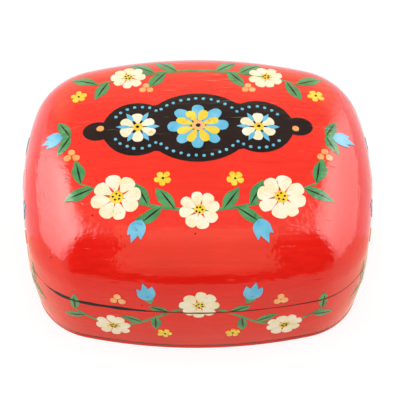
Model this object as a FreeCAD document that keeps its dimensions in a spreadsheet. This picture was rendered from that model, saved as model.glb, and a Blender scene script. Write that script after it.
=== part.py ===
"""A pillow-shaped keepsake box of papier-mâché with a lift-off lid. Millimetres, +Z up.

The origin is the middle of the underside, +X runs along the box and -Y is its front. Every horizontal section
is the same bowed outline, moved in by an inset that is a sum of named sizes, so walls, fits and linings follow
one another.
"""
import FreeCAD
import Part
import Sketcher
import math
import os

SIZES = {
    # The outline from above, measured at the seam, where the box is widest
    "width": 150,
    "depth": 126,
    "front_bow": 205,
    "end_bow": 178,
    "corner_bow": 31,
    # Heights from the table, and the form of the dome
    "seam_height": 30,
    "total_height": 69.6,
    "crown_along": 430,
    "crown_across": 190,
    "shoulder": 26,
    # The shells, the lean of the tub's wall and the eased edges of the rims
    "shell_wall": 4.5,
    "ledge": 0.5,
    "belly_height": 14,
    "belly_inset": 1.05,
    "foot_inset": 3,
    "rim_bevel": 0.45,
    # The bottom board: its edge shows as a thin strip below the wall, and its plug fills the wall's foot
    "strip_height": 2.4,
    "strip_round": 1.1,
    "strip_bevel": 0.4,
    "plug_height": 2.4,
    # The collar that locates the lid
    "collar_depth": 13,
    "collar_rise": 7,
    "collar_round": 0.8,
    "lid_clearance": 0.6,
    "mouth_gap": 2,
    # The felt linings
    "felt": 1.2,
    "lining_drop": 2.5,
    "pad_height": 2.6,
    "pad_round": 1.2,
    "pad_clearance": 0.3,
    # The paste between glued pieces, and how far a cut runs past the face that it opens
    "glue_gap": 0.1,
    "overrun": 1,
}

# Insets and levels, as signed sums of the sizes above
FLUSH = ()
SEAM = ("seam_height",)
STRIP_TOP = ("strip_height",)
FLOOR = STRIP_TOP + ("plug_height",)
LID_INSIDE = ("shell_wall",)
COLLAR_OUTSIDE = ("shell_wall", "glue_gap")
MOUTH_INSIDE = COLLAR_OUTSIDE + ("-lid_clearance",)
LID_FELT_OUTSIDE = ("shell_wall", "glue_gap")
LID_FELT_INSIDE = LID_FELT_OUTSIDE + ("felt",)
WALL_INSIDE = ("shell_wall", "ledge")
FOOT_INSIDE = WALL_INSIDE + ("foot_inset",)
LINING_OUTSIDE = FOOT_INSIDE + ("glue_gap",)
LINING_INSIDE = LINING_OUTSIDE + ("felt",)
PAD_OUTSIDE = LINING_INSIDE + ("pad_clearance",)
COLLAR_FOOT = SEAM + ("-collar_depth",)
COLLAR_TOP = SEAM + ("collar_rise",)
LINING_TOP = COLLAR_TOP + ("-lining_drop",)
MOUTH_TOP = COLLAR_TOP + ("mouth_gap",)

# How a sketch numbers the points of a curve, and its own two axes
START, END, CENTRE = range(1, 4)
X_AXIS, Y_AXIS = range(-1, -3, -1)
ORIGIN = (X_AXIS, START)
UP = FreeCAD.Vector(0, 0, 1)

document = FreeCAD.newDocument("keepsake_box")
sheet = document.addObject("Spreadsheet::Sheet", "sizes")
for row, (alias, value) in enumerate(SIZES.items(), start=1):
    sheet.set(f"A{row}", alias)
    sheet.set(f"B{row}", str(value))
    sheet.setAlias(f"B{row}", alias)
document.recompute()


def amount(terms):
    """The value of a signed sum of sizes."""
    return sum(-sheet.get(term[1:]) if term.startswith("-") else sheet.get(term) for term in terms)


def formula(terms):
    """The same sum, as an expression on the sheet's cells."""
    signed = [f"- sizes.{term[1:]}" if term.startswith("-") else f"+ sizes.{term}" for term in terms]
    return "0 " + " ".join(signed)


def less(terms):
    """The terms with their signs turned round, to take them away from another sum."""
    return tuple(term[1:] if term.startswith("-") else "-" + term for term in terms)


def constrain(sketch, kind, *where, bound_to=None):
    """Adds a constraint, tied to an expression where it has a value."""
    index = sketch.addConstraint(Sketcher.Constraint(kind, *where))
    if bound_to:
        sketch.setExpression(f"Constraints[{index}]", bound_to)


def arc(sketch, x, y, radius, start, end):
    return sketch.addGeometry(Part.ArcOfCircle(Part.Circle(FreeCAD.Vector(x, y, 0), UP, radius), start, end))


def line(sketch, start, end, construction=False):
    segment = Part.LineSegment(FreeCAD.Vector(*start, 0), FreeCAD.Vector(*end, 0))
    return sketch.addGeometry(segment, construction)


def corner_centre(front_reach, end_reach):
    """Where circles about the two bows' centres cross, so that the corner's arc touches both bows."""
    to_front = amount(("front_bow", "-corner_bow"))
    to_end = amount(("end_bow", "-corner_bow"))
    slope = end_reach / front_reach
    height = (to_front**2 - to_end**2 + front_reach**2 + end_reach**2) / (2 * front_reach)
    square = 1 + slope**2
    x = (math.sqrt(square * to_front**2 - height**2) - slope * height) / square
    return x, height - front_reach + slope * x


def add_outline(sketch, inset):
    """Bowed sides and rounded corners: eight arcs, each tangent to the next, moved in by the inset."""
    front_reach = sheet.get("front_bow") - sheet.get("depth") / 2
    end_reach = sheet.get("end_bow") - sheet.get("width") / 2
    x, y = corner_centre(front_reach, end_reach)
    front_turn = math.atan2(y + front_reach, x)
    end_turn = math.atan2(y, x + end_reach)
    arcs = []
    for half_turn, side in ((0, 1), (math.pi, -1)):
        far_front = half_turn + math.pi - front_turn
        far_end = half_turn + math.pi - end_turn
        arcs += [
            ("end_bow", -side * end_reach, 0, half_turn - end_turn, half_turn + end_turn),
            ("corner_bow", side * x, side * y, half_turn + end_turn, half_turn + front_turn),
            ("front_bow", 0, -side * front_reach, half_turn + front_turn, far_front),
            ("corner_bow", -side * x, side * y, far_front, far_end),
        ]
    drawn = []
    for bow, centre_x, centre_y, start, end in arcs:
        drawn.append(arc(sketch, centre_x, centre_y, amount((bow,) + less(inset)), start, end))
    for this, following in zip(drawn, drawn[1:] + drawn[:1]):
        constrain(sketch, "Tangent", this, END, following, START)
    for curve, (bow, *_) in zip(drawn, arcs):
        radius = (bow,) + less(inset)
        constrain(sketch, "Radius", curve, amount(radius), bound_to=formula(radius))
    right, back, left, front = drawn[::2]
    for curve, axis in ((right, X_AXIS), (left, X_AXIS), (back, Y_AXIS), (front, Y_AXIS)):
        constrain(sketch, "PointOnObject", curve, CENTRE, axis)
    end_bound = "sizes.end_bow - sizes.width / 2"
    front_bound = "sizes.front_bow - sizes.depth / 2"
    constrain(sketch, "DistanceX", right, CENTRE, *ORIGIN, end_reach, bound_to=end_bound)
    constrain(sketch, "DistanceX", *ORIGIN, left, CENTRE, end_reach, bound_to=end_bound)
    constrain(sketch, "DistanceY", back, CENTRE, *ORIGIN, front_reach, bound_to=front_bound)
    constrain(sketch, "DistanceY", *ORIGIN, front, CENTRE, front_reach, bound_to=front_bound)


def new_body(label):
    body = document.addObject("PartDesign::Body", label)
    body.Label = label
    return body


def new_sketch(body, name, role):
    """An empty sketch on one of the body's own origin planes."""
    plane = next(item for item in body.Origin.OriginFeatures if item.Role == role)
    sketch = body.newObject("Sketcher::SketchObject", name)
    sketch.AttachmentSupport = [(plane, "")]
    sketch.MapMode = "FlatFace"
    return sketch


def outline_sketch(body, name, level, *insets):
    """A level sketch with one outline for each inset."""
    sketch = new_sketch(body, name, "XY_Plane")
    sketch.setExpression("AttachmentOffset.Base.z", formula(level))
    for inset in insets:
        add_outline(sketch, inset)
    return sketch


def pad(body, name, sketch, height):
    feature = body.newObject("PartDesign::Pad", name)
    feature.Profile = sketch
    feature.setExpression("Length", formula(height))
    document.recompute()
    return feature


def pocket(body, name, sketch, height, upward=False):
    feature = body.newObject("PartDesign::Pocket", name)
    feature.Profile = sketch
    feature.Reversed = upward
    feature.setExpression("Length", formula(height))
    document.recompute()
    return feature


def loft(body, name, kind, sketches, ruled=False):
    feature = body.newObject(f"PartDesign::{kind}", name)
    feature.Profile = sketches[0]
    feature.Sections = sketches[1:]
    feature.Ruled = ruled
    document.recompute()
    return feature


def level_face(shape, level, facing):
    """The flat face at a level that looks up (1) or down (-1)."""
    height = amount(level)
    for face in shape.Faces:
        flat = isinstance(face.Surface, Part.Plane)
        if flat and abs(face.CenterOfMass.z - height) < Part.Precision.approximation():
            if face.normalAt(0, 0).z * facing > 0:
                return face
    raise RuntimeError(f"no face at {height}")


def edge_names(shape, edges):
    return [f"Edge{n}" for n, edge in enumerate(shape.Edges, start=1) if any(edge.isSame(e) for e in edges)]


def ease(body, name, kind, edges, size_property, size_terms):
    """A fillet or a chamfer on chosen edges of the body's last feature."""
    base = body.Tip
    feature = body.newObject(f"PartDesign::{kind}", name)
    feature.Base = (base, edge_names(base.Shape, edges))
    feature.setExpression(size_property, formula(size_terms))
    document.recompute()
    return feature


def outer_edges(body, level, facing):
    return level_face(body.Tip.Shape, level, facing).OuterWire.Edges


def add_crown(body, drop):
    """Trims a block's top to a dome that curves along and across, lowered by the drop."""
    sketch = new_sketch(body, f"{body.Name}_crown", "YZ_Plane")
    half = sheet.get("depth") / 2 + sheet.get("overrun")
    half_bound = "sizes.depth / 2 + sizes.overrun"
    sink = amount(("crown_across", "-total_height"))
    radius = ("crown_across",) + less(drop)
    spread = math.asin(half / amount(radius))
    edge_height = amount(radius) * math.cos(spread) - sink
    above = ("total_height", "total_height")
    top = amount(above)
    axis_sink = ("crown_along", "-total_height")
    dome = arc(sketch, 0, -sink, amount(radius), math.pi / 2 - spread, math.pi / 2 + spread)
    right = line(sketch, (half, edge_height), (half, top))
    ceiling = line(sketch, (half, top), (-half, top))
    left = line(sketch, (-half, top), (-half, edge_height))
    axis = line(sketch, (-half, -amount(axis_sink)), (half, -amount(axis_sink)), construction=True)
    for first, second in ((dome, right), (right, ceiling), (ceiling, left), (left, dome)):
        first_end = START if first == dome else END
        second_end = END if second == dome else START
        constrain(sketch, "Coincident", first, first_end, second, second_end)
    constrain(sketch, "Vertical", right)
    constrain(sketch, "Vertical", left)
    constrain(sketch, "Horizontal", ceiling)
    constrain(sketch, "Horizontal", axis)
    constrain(sketch, "PointOnObject", dome, CENTRE, Y_AXIS)
    constrain(sketch, "Radius", dome, amount(radius), bound_to=formula(radius))
    below = formula(("crown_across", "-total_height"))
    constrain(sketch, "DistanceY", dome, CENTRE, *ORIGIN, sink, bound_to=below)
    constrain(sketch, "DistanceY", *ORIGIN, ceiling, START, top, bound_to=formula(above))
    constrain(sketch, "DistanceY", axis, START, *ORIGIN, amount(axis_sink), bound_to=formula(axis_sink))
    for curve, point in ((right, START), (axis, END)):
        constrain(sketch, "DistanceX", *ORIGIN, curve, point, half, bound_to=half_bound)
    for curve, point in ((left, START), (axis, START)):
        constrain(sketch, "DistanceX", curve, point, *ORIGIN, half, bound_to=half_bound)
    groove = body.newObject("PartDesign::Groove", f"{body.Name}_dome")
    groove.Profile = sketch
    groove.ReferenceAxis = (sketch, ["Axis0"])
    groove.Midplane = True
    groove.setExpression("Angle", "2 * asin(sizes.width / sizes.crown_along)")
    document.recompute()
    return groove


def pillow(label, inset, level):
    """A block with the bowed outline, a crowned top and a broad round shoulder between them."""
    body = new_body(label)
    outline = outline_sketch(body, f"{label}_outline", level, inset)
    pad(body, f"{label}_block", outline, ("total_height", "overrun") + less(level))
    dome = add_crown(body, inset)
    shoulder_edges = []
    for edge in dome.Shape.Edges:
        surfaces = [type(face.Surface) for face in dome.Shape.ancestorsOfType(edge, Part.Face)]
        if Part.Cylinder in surfaces and Part.Toroid in surfaces:
            shoulder_edges.append(edge)
    ease(body, f"{label}_shoulder", "Fillet", shoulder_edges, "Radius", ("shoulder",) + less(inset))
    return body


def hollow(body, cavity):
    feature = body.newObject("PartDesign::Boolean", f"{body.Name}_hollow")
    feature.setObjects([cavity])
    feature.Type = "Cut"
    document.recompute()
    return feature


def make_lid_shell():
    body = pillow("lid_shell", FLUSH, SEAM)
    hollow(body, pillow("lid_cavity", LID_INSIDE, SEAM + ("-overrun",)))
    mouth = outline_sketch(body, "lid_mouth_outline", SEAM, MOUTH_INSIDE)
    pocket(body, "lid_mouth", mouth, MOUTH_TOP + less(SEAM), upward=True)
    ease(body, "lid_rim", "Chamfer", outer_edges(body, SEAM, -1), "Size", ("rim_bevel",))
    return body


def make_lid_lining():
    """Felt inside the dome, cut off level above the collar."""
    body = pillow("lid_lining", LID_FELT_OUTSIDE, SEAM)
    hollow(body, pillow("lid_lining_cavity", LID_FELT_INSIDE, SEAM + ("-overrun",)))
    trim = outline_sketch(body, "lid_lining_trim_outline", SEAM, FLUSH)
    pocket(body, "lid_lining_trim", trim, MOUTH_TOP + less(SEAM), upward=True)
    return body


def make_base_shell():
    """The tub's wall leans in towards its foot, and is rebated inside the rim to seat the collar."""
    body = new_body("base_shell")
    foot = ("foot", STRIP_TOP, ("foot_inset",))
    belly = ("belly", ("belly_height",), ("belly_inset",))
    under_rim = ("under_rim", SEAM + ("-rim_bevel",), FLUSH)
    rim = ("rim", SEAM, ("rim_bevel",))
    mouth = ("mouth", SEAM, FLUSH)

    def sections(side, wall, *stations):
        drawn = []
        for name, level, inset in stations:
            drawn.append(outline_sketch(body, f"{side}_{name}", level, wall + inset))
        return drawn

    loft(body, "base_outside", "AdditiveLoft", sections("outside", FLUSH, foot, belly, under_rim))
    loft(body, "base_rim", "AdditiveLoft", sections("bevel", FLUSH, under_rim, rim), ruled=True)
    loft(body, "base_inside", "SubtractiveLoft", sections("inside", WALL_INSIDE, foot, belly, mouth))
    seat = outline_sketch(body, "collar_seat_outline", SEAM, LID_INSIDE)
    pocket(body, "collar_seat", seat, ("collar_depth",))
    return body


def make_bottom_board():
    body = new_body("bottom_board")
    strip = outline_sketch(body, "strip_outline", FLUSH, ("foot_inset",))
    pad(body, "strip", strip, STRIP_TOP)
    ease(body, "strip_edge", "Fillet", outer_edges(body, FLUSH, -1), "Radius", ("strip_round",))
    ease(body, "strip_joint", "Chamfer", outer_edges(body, STRIP_TOP, 1), "Size", ("strip_bevel",))
    plug = outline_sketch(body, "plug_outline", STRIP_TOP, LINING_OUTSIDE)
    pad(body, "plug", plug, ("plug_height",))
    return body


def make_collar():
    """A strip that stands on the wall's ledge and rises past the seam, rounded where the lid slides on."""
    body = new_body("collar")
    strip = outline_sketch(body, "collar_outline", COLLAR_FOOT, COLLAR_OUTSIDE, FOOT_INSIDE)
    pad(body, "collar_strip", strip, ("collar_depth", "collar_rise"))
    top = level_face(body.Tip.Shape, COLLAR_TOP, 1)
    ease(body, "collar_lip", "Fillet", top.Edges, "Radius", ("collar_round",))
    return body


def make_wall_lining():
    body = new_body("wall_lining")
    strip = outline_sketch(body, "lining_outline", FLOOR, LINING_OUTSIDE, LINING_INSIDE)
    pad(body, "lining_strip", strip, LINING_TOP + less(FLOOR))
    return body


def make_floor_pad():
    body = new_body("floor_pad")
    outline = outline_sketch(body, "pad_outline", FLOOR, PAD_OUTSIDE)
    pad(body, "pad_block", outline, ("pad_height",))
    top = level_face(body.Tip.Shape, FLOOR + ("pad_height",), 1)
    ease(body, "pad_edge", "Fillet", top.Edges, "Radius", ("pad_round",))
    return body


pieces = [
    make_lid_shell(),
    make_lid_lining(),
    make_base_shell(),
    make_bottom_board(),
    make_collar(),
    make_wall_lining(),
    make_floor_pad(),
]
document.recompute()
for item in document.Objects:
    if {"Invalid", "Error"} & set(item.State):
        raise RuntimeError(f"{item.Label} failed: {item.State}")
for piece in pieces:
    if piece.Shape.isNull() or not piece.Shape.isValid() or len(piece.Shape.Solids) != 1:
        raise RuntimeError(f"{piece.Label} is not one sound solid")

os.makedirs("parts", exist_ok=True)
for piece in pieces:
    piece.Shape.exportStep(os.path.join("parts", f"{piece.Label}.step"))
    print(f"{piece.Label}: {piece.Shape.Volume:.0f} mm3, {len(piece.Shape.Faces)} faces")
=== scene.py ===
# %% [markdown]
# # A lacquered keepsake box, painted by hand
# The box is papier-mâché: two shells of pasted paper, brushed with red lacquer, painted with flowers and
# covered with a clear coat. The shells, the collar and the bottom board come from the CAD frame, because
# their shapes are right already. Blender adds what the brush and the felt cutter add: the lacquer, the
# painted flowers, the dark lines where the pieces meet, and the felt inside. This first cell loads the
# frame and keeps its box for later.

# %% Load the frame
import math
import random

import bpy
from mathutils import Matrix, Vector, noise


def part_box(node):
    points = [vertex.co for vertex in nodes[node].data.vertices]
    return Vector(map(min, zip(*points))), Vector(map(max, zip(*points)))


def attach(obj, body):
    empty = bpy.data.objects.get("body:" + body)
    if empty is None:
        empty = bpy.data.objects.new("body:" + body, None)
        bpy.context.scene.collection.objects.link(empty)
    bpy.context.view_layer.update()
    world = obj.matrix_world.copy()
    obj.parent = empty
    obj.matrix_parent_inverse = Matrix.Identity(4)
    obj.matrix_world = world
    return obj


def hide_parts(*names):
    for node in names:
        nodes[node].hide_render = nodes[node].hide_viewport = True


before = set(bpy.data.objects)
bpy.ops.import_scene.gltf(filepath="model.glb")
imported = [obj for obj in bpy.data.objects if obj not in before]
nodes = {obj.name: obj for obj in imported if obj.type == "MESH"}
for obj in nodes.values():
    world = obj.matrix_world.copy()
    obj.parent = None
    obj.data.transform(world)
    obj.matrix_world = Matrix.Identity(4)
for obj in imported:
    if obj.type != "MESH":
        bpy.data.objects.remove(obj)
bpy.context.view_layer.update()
mm = 0.001
scene = bpy.context.scene
scene.view_settings.view_transform = "Standard"

# %% [markdown]
# ## The camera
# The photograph was taken from in front and about 50 degrees above the table, through a long lens that
# flattens the box. The angles were found by laying the CAD outline, the seam and the foot line over the
# photograph. A camera in Blender looks along its own -Z axis, so three directions are enough to place it:
# right, up and back.

# %% Camera
RISE, SWING, TILT = math.radians(50.483), math.radians(-1.398), math.radians(0.881)
AIM = Vector((1.131, 0, 27.491)) * mm
DISTANCE = 873.4 * mm
LENS, SENSOR = 180, 36


def added(operator, name, **settings):
    """Adds an object while nothing else is selected, and names it."""
    bpy.ops.object.select_all(action="DESELECT")
    operator(**settings)
    bpy.context.object.name = name
    return bpy.context.object


back = Vector((math.sin(SWING) * math.cos(RISE), -math.cos(SWING) * math.cos(RISE), math.sin(RISE)))
right = Vector((math.cos(SWING), math.sin(SWING), 0))
up = back.cross(right)
turned_right = right * math.cos(TILT) + up * math.sin(TILT)
turned_up = up * math.cos(TILT) - right * math.sin(TILT)
camera = added(bpy.ops.object.camera_add, "camera")
camera.data.lens = LENS
camera.data.sensor_width = SENSOR
facing = Matrix((turned_right, turned_up, back)).transposed().to_4x4()
camera.matrix_world = Matrix.Translation(AIM + back * DISTANCE) @ facing
scene.camera = camera
print("camera at", [round(value, 3) for value in camera.location])

# %% [markdown]
# ## Helpers for materials
# Colours are written as sRGB hex values, as a paint program shows them, and shaders want linear light, so
# one function turns the first into the second. A second function adds a node, sets its properties and
# links its inputs, which keeps each material short enough to read from top to bottom.

# %% Colour and node helpers
# Settings that many nodes share: a Mix node for colours, a MapRange node with soft ends, and a product
COLOURS = {"data_type": "RGBA"}
SOFT = {"interpolation_type": "SMOOTHSTEP"}
TIMES = {"operation": "MULTIPLY"}


def linear(code):
    """An sRGB hex colour as the linear RGBA that a shader reads."""
    shares = [int(code[start:start + 2], 16) / 255 for start in (1, 3, 5)]
    return [c / 12.92 if c <= 0.04045 else ((c + 0.055) / 1.055) ** 2.4 for c in shares] + [1]


def add(tree, kind, settings=None, inputs=None):
    """Adds a shader node. An input is a value, an output, or a node, which gives its first output in use."""
    made = tree.nodes.new(f"ShaderNode{kind}")
    for name, value in (settings or {}).items():
        setattr(made, name, value)
    for name, value in (inputs or {}).items():
        if isinstance(value, bpy.types.Node):
            value = next(output for output in value.outputs if output.enabled)
        if isinstance(value, bpy.types.NodeSocket):
            tree.links.new(value, made.inputs[name])
        else:
            made.inputs[name].default_value = value
    return made


def new_material(name):
    """An empty material: its node tree, and the socket that takes its shader."""
    material = bpy.data.materials.new(name)
    material.use_nodes = True
    material.node_tree.nodes.clear()
    output = add(material.node_tree, "OutputMaterial")
    return material, material.node_tree, output.inputs["Surface"]


def give(piece, material):
    """Makes a material the only one on a piece."""
    piece.data.materials.clear()
    piece.data.materials.append(material)


print("deep red in linear light:", [round(value, 3) for value in linear("#e31a12")])

# %% [markdown]
# ## White ground
# The box stands on white paper that fills the picture. Paper alone would look grey where the light falls
# off, so it also glows where the camera or a reflection sees it, and the box still leaves a soft shadow
# on it. The world is made the same way: white to the eye, and a plain grey fill light for everything
# else.

# %% Floor
FLOOR_SIZE, PAPER_FIBRE = 8, 3 * mm
PAPER_GLOW, GLOW_STRENGTH = 0.8, 1.06
WHITE = (1, 1, 1, 1)


def seen_by_eye(tree):
    """1 where the camera sees a thing, straight on, in a reflection or through glass, and otherwise 0."""
    path = add(tree, "LightPath")
    seen = path.outputs["Is Camera Ray"]
    for kind in ("Is Glossy Ray", "Is Transmission Ray"):
        seen = add(tree, "Math", {"operation": "MAXIMUM"}, {0: seen, 1: path.outputs[kind]}).outputs[0]
    return seen


floor = added(bpy.ops.mesh.primitive_plane_add, "floor", size=FLOOR_SIZE)
# White paper: matt, with a faint fibre, so that it takes the box's soft shadow
paper, tree, surface = new_material("white_paper_sweep")
place = add(tree, "TexCoord").outputs["Object"]
fibres = add(tree, "TexNoise", inputs={"Vector": place, "Scale": 1 / PAPER_FIBRE, "Detail": 2})
tint = add(tree, "Mix", COLOURS, {0: fibres, 6: linear("#f2f2f0"), 7: linear("#fafaf8")})
sheet = add(tree, "BsdfDiffuse", inputs={"Color": tint})
glow = add(tree, "Emission", inputs={"Color": WHITE, "Strength": GLOW_STRENGTH})
share = add(tree, "Math", TIMES, {0: seen_by_eye(tree), 1: PAPER_GLOW})
both = add(tree, "MixShader", inputs={0: share, 1: sheet, 2: glow})
tree.links.new(both.outputs[0], surface)
give(floor, paper)
print("floor size in m:", FLOOR_SIZE)

# %% World
BACKGROUND, AMBIENT = 1, 0.35
world = bpy.data.worlds.new("studio")
scene.world = world
world.use_nodes = True
tree = world.node_tree
level = add(tree, "MapRange", inputs={"Value": seen_by_eye(tree), "To Min": AMBIENT, "To Max": BACKGROUND})
tree.links.new(level.outputs[0], tree.nodes["Background"].inputs["Strength"])
tree.nodes["Background"].inputs["Color"].default_value = WHITE
print("world ready, fill light", AMBIENT)

# %% [markdown]
# ## What the lacquer mirrors
# Glossy lacquer mirrors the whole room, so the room matters as much as the lamps. In the photograph each
# end of the lid mirrors a tall bright window, the back edge a low bright screen, the crown the dim wall
# above it, and the front shoulder a dim panel overhead, while the deep red band above the seam mirrors
# darkness low in front, where the camera stood. So the box stands in a dark tent with five glowing cards,
# and only reflections see them. Most cards are brighter towards the top, as a lit screen is, and their
# edges are soft.

# %% Dark tent
TENT_RADIUS = 4
TENT_DARK, TENT_TOP = 0.02, 0.28
# The light at the top of the tent starts at the first height and is full at the second
TOP_FROM, TOP_FULL = 0.75 * TENT_RADIUS, 0.97 * TENT_RADIUS


def edited(operator, **settings):
    """Runs an operator on the whole of the active mesh, in edit mode."""
    bpy.ops.object.mode_set(mode="EDIT")
    bpy.ops.mesh.select_all(action="SELECT")
    operator(**settings)
    bpy.ops.object.mode_set(mode="OBJECT")


tent = added(
    bpy.ops.mesh.primitive_uv_sphere_add, "dark_tent", segments=72, ring_count=36, radius=TENT_RADIUS
)
edited(bpy.ops.mesh.bisect, plane_co=(0, 0, 0), plane_no=(0, 0, 1), clear_inner=True)
# Dark tent cloth: it mirrors as near black, and lets a little warm light through at the top
cloth, tree, surface = new_material("dark_tent_cloth")
height = add(tree, "SeparateXYZ", inputs={0: add(tree, "TexCoord").outputs["Object"]})
lit = {"From Min": TOP_FROM, "From Max": TOP_FULL, "To Min": TENT_DARK, "To Max": TENT_TOP}
fade = add(tree, "MapRange", SOFT, {"Value": height.outputs["Z"], **lit})
glow = add(tree, "Emission", inputs={"Color": linear("#fff4dc"), "Strength": fade})
tree.links.new(glow.outputs[0], surface)
give(tent, cloth)
print("tent faces:", len(tent.data.polygons))

# %% Glowing cards
# A card reaches its full glow at the first of these shares of its height, and its head's width at the second
FULL_AT, HEAD_AT = 0.3, 0.5


def glowing_card(
    name, middle, width, height, foot, full, fade_share, side_share, colour, lean=0, head_share=1
):
    """A card that faces the box, in metres. Its glow grows from foot to full and fades above fade_share.

    side_share is the soft share of its width at each side, and head_share narrows it towards its head.
    """
    level = Vector((middle[0], middle[1], 0)).normalized() * math.cos(math.radians(lean))
    outward = level + Vector((0, 0, math.sin(math.radians(lean))))
    turn = outward.to_track_quat("Z", "Y").to_euler()
    card = added(bpy.ops.mesh.primitive_plane_add, name, size=2, location=middle, rotation=turn)
    card.scale = (width / 2, height / 2, 1)
    # Diffuser cloth on a frame, lit from behind: an even glow with soft edges
    screen, tree, surface = new_material(f"{name}_diffuser_cloth")
    flat = add(tree, "SeparateXYZ", inputs={0: add(tree, "TexCoord").outputs["Object"]})
    tall = add(tree, "MapRange", inputs={"Value": flat.outputs["Y"], "From Min": -1, "From Max": 1})
    grown = {"Value": tall, "From Max": FULL_AT, "To Min": foot, "To Max": full}
    rise = add(tree, "MapRange", inputs=grown)
    drawn_in = {"Value": tall, "From Max": HEAD_AT, "To Min": 1, "To Max": head_share}
    narrow = add(tree, "MapRange", inputs=drawn_in)
    aside = add(tree, "Math", {"operation": "ABSOLUTE"}, {0: flat.outputs["X"]})
    aside = add(tree, "Math", {"operation": "DIVIDE"}, {0: aside, 1: narrow})
    edges = [
        add(tree, "MapRange", SOFT, {"Value": reach, "From Min": start, "To Min": 1, "To Max": 0})
        for reach, start in ((tall, fade_share), (aside, 1 - 2 * side_share))
    ]
    edge = add(tree, "Math", TIMES, {0: edges[0], 1: edges[1]})
    glow = add(tree, "Emission", inputs={"Color": linear(colour), "Strength": rise})
    clear = add(tree, "BsdfTransparent")
    both = add(tree, "MixShader", inputs={0: edge, 1: clear, 2: glow})
    tree.links.new(both.outputs[0], surface)
    give(card, screen)
    return card


cards = [
    glowing_card(
        "left_card", middle=(-0.8, 0.04, 1.3), width=1.84, height=2.6, foot=2.8, full=6.3,
        fade_share=0.36, side_share=0.25, colour="#fffaf8",
    ),
    glowing_card(
        "right_card", middle=(0.8, 0.12, 1.45), width=2, height=2.9, foot=2.2, full=4.7,
        fade_share=0.34, side_share=0.22, colour="#fff8f4",
    ),
    glowing_card(
        "back_card", middle=(-0.05, 1.1, 0.5), width=2, height=1, foot=1.2, full=1.25,
        fade_share=0.24, side_share=0.18, colour="#fff4cc",
    ),
    glowing_card(
        "back_wall", middle=(-0.05, 1.3, 1.5), width=2.4, height=3, foot=0.36, full=0.36,
        fade_share=0.4, side_share=0.18, colour="#ffd9cb",
    ),
    glowing_card(
        "front_card", middle=(0, -0.67, 0.74), width=1.06, height=1.88, foot=0.42, full=0.95,
        fade_share=0.96, side_share=0.04, colour="#fff2c4", lean=48, head_share=0.62,
    ),
]
print("cards:", [card.name for card in cards])

# %% [markdown]
# ## The mat in front
# Low on the lid's front the lacquer mirrors the table. White paper as far as the eye goes would wash the
# red out there, and in the photograph the reflection ends in a line, above which the red is deep. So a
# dark mat lies in front, for reflections only. It is sheer near the box, where the paper still shines
# through, and dark beyond.

# %% Dark mat
# How much the mat hides near the box, how far out that goes, and where it hides everything
MAT_THIN, MAT_THIN_TO, MAT_FULL_AT = 0.34, 232 * mm, 262 * mm
# It fades out between these two directions from straight ahead
MAT_SIDE, MAT_FRONT = math.cos(math.radians(55)), math.cos(math.radians(35))
MAT_HEIGHT, MAT_NAP = 0.5 * mm, 20 * mm

mat = added(
    bpy.ops.mesh.primitive_circle_add,
    "dark_mat",
    vertices=96,
    radius=TENT_RADIUS,
    fill_type="NGON",
    location=(0, 0, MAT_HEIGHT),
)
bpy.ops.object.transform_apply(location=True)
edited(bpy.ops.mesh.bisect, plane_co=(0, 0, 0), plane_no=(0, 1, 0), clear_outer=True)
# Brown studio cloth: matt, with a faint nap, and amber where it is sheer
cloth, tree, surface = new_material("brown_studio_cloth")
place = add(tree, "TexCoord").outputs["Object"]
nap = add(tree, "TexNoise", inputs={"Vector": place, "Scale": 1 / MAT_NAP})
tint = add(tree, "Mix", COLOURS, {0: nap, 6: linear("#1b120a"), 7: linear("#30241a")})
sheet = add(tree, "BsdfDiffuse", inputs={"Color": tint})
clear = add(tree, "BsdfTransparent", inputs={"Color": linear("#f6ecd4")})
reach = add(tree, "VectorMath", {"operation": "LENGTH"}, {0: place})
cover = add(
    tree,
    "MapRange",
    SOFT,
    {"Value": reach.outputs["Value"], "From Min": MAT_THIN_TO, "From Max": MAT_FULL_AT, "To Min": MAT_THIN},
)
heading = add(tree, "VectorMath", {"operation": "NORMALIZE"}, {0: place})
ahead = add(tree, "VectorMath", {"operation": "DOT_PRODUCT"}, {0: heading, 1: (0, -1, 0)})
spread = add(
    tree, "MapRange", SOFT, {"Value": ahead.outputs["Value"], "From Min": MAT_SIDE, "From Max": MAT_FRONT}
)
cover = add(tree, "Math", TIMES, {0: cover, 1: spread})
both = add(tree, "MixShader", inputs={0: cover, 1: clear, 2: sheet})
tree.links.new(both.outputs[0], surface)
give(mat, cloth)
for screen in [tent, mat] + cards:
    screen.visible_camera = screen.visible_transmission = False
    screen.visible_diffuse = screen.visible_shadow = False
print("mat faces:", len(mat.data.polygons))

# %% [markdown]
# ## The lamps
# The cards only make reflections. The colours themselves need light that falls on them, so five large
# square lamps stand round the box, roughly where the cards are. They are soft, because the photograph
# shows no hard shadow, and reflections don't see them, because they see the cards.

# %% Lamps for the colours
LAMP_DISTANCE = 1.2


def softbox(name, bearing, rise, size, radiance):
    """A square lamp that faces the box. Its bearing from the back and its rise are in degrees."""
    turn, lift = math.radians(bearing), math.radians(rise)
    heading = Vector((math.sin(turn) * math.cos(lift), math.cos(turn) * math.cos(lift), math.sin(lift)))
    lamp = added(bpy.ops.object.light_add, name, type="AREA", location=AIM + heading * LAMP_DISTANCE)
    lamp.data.shape = "SQUARE"
    lamp.data.size = size
    lamp.data.energy = radiance * math.pi * size * size
    lamp.rotation_euler = (-heading).to_track_quat("-Z", "Y").to_euler()
    lamp.visible_camera = lamp.visible_glossy = False
    return lamp


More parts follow.
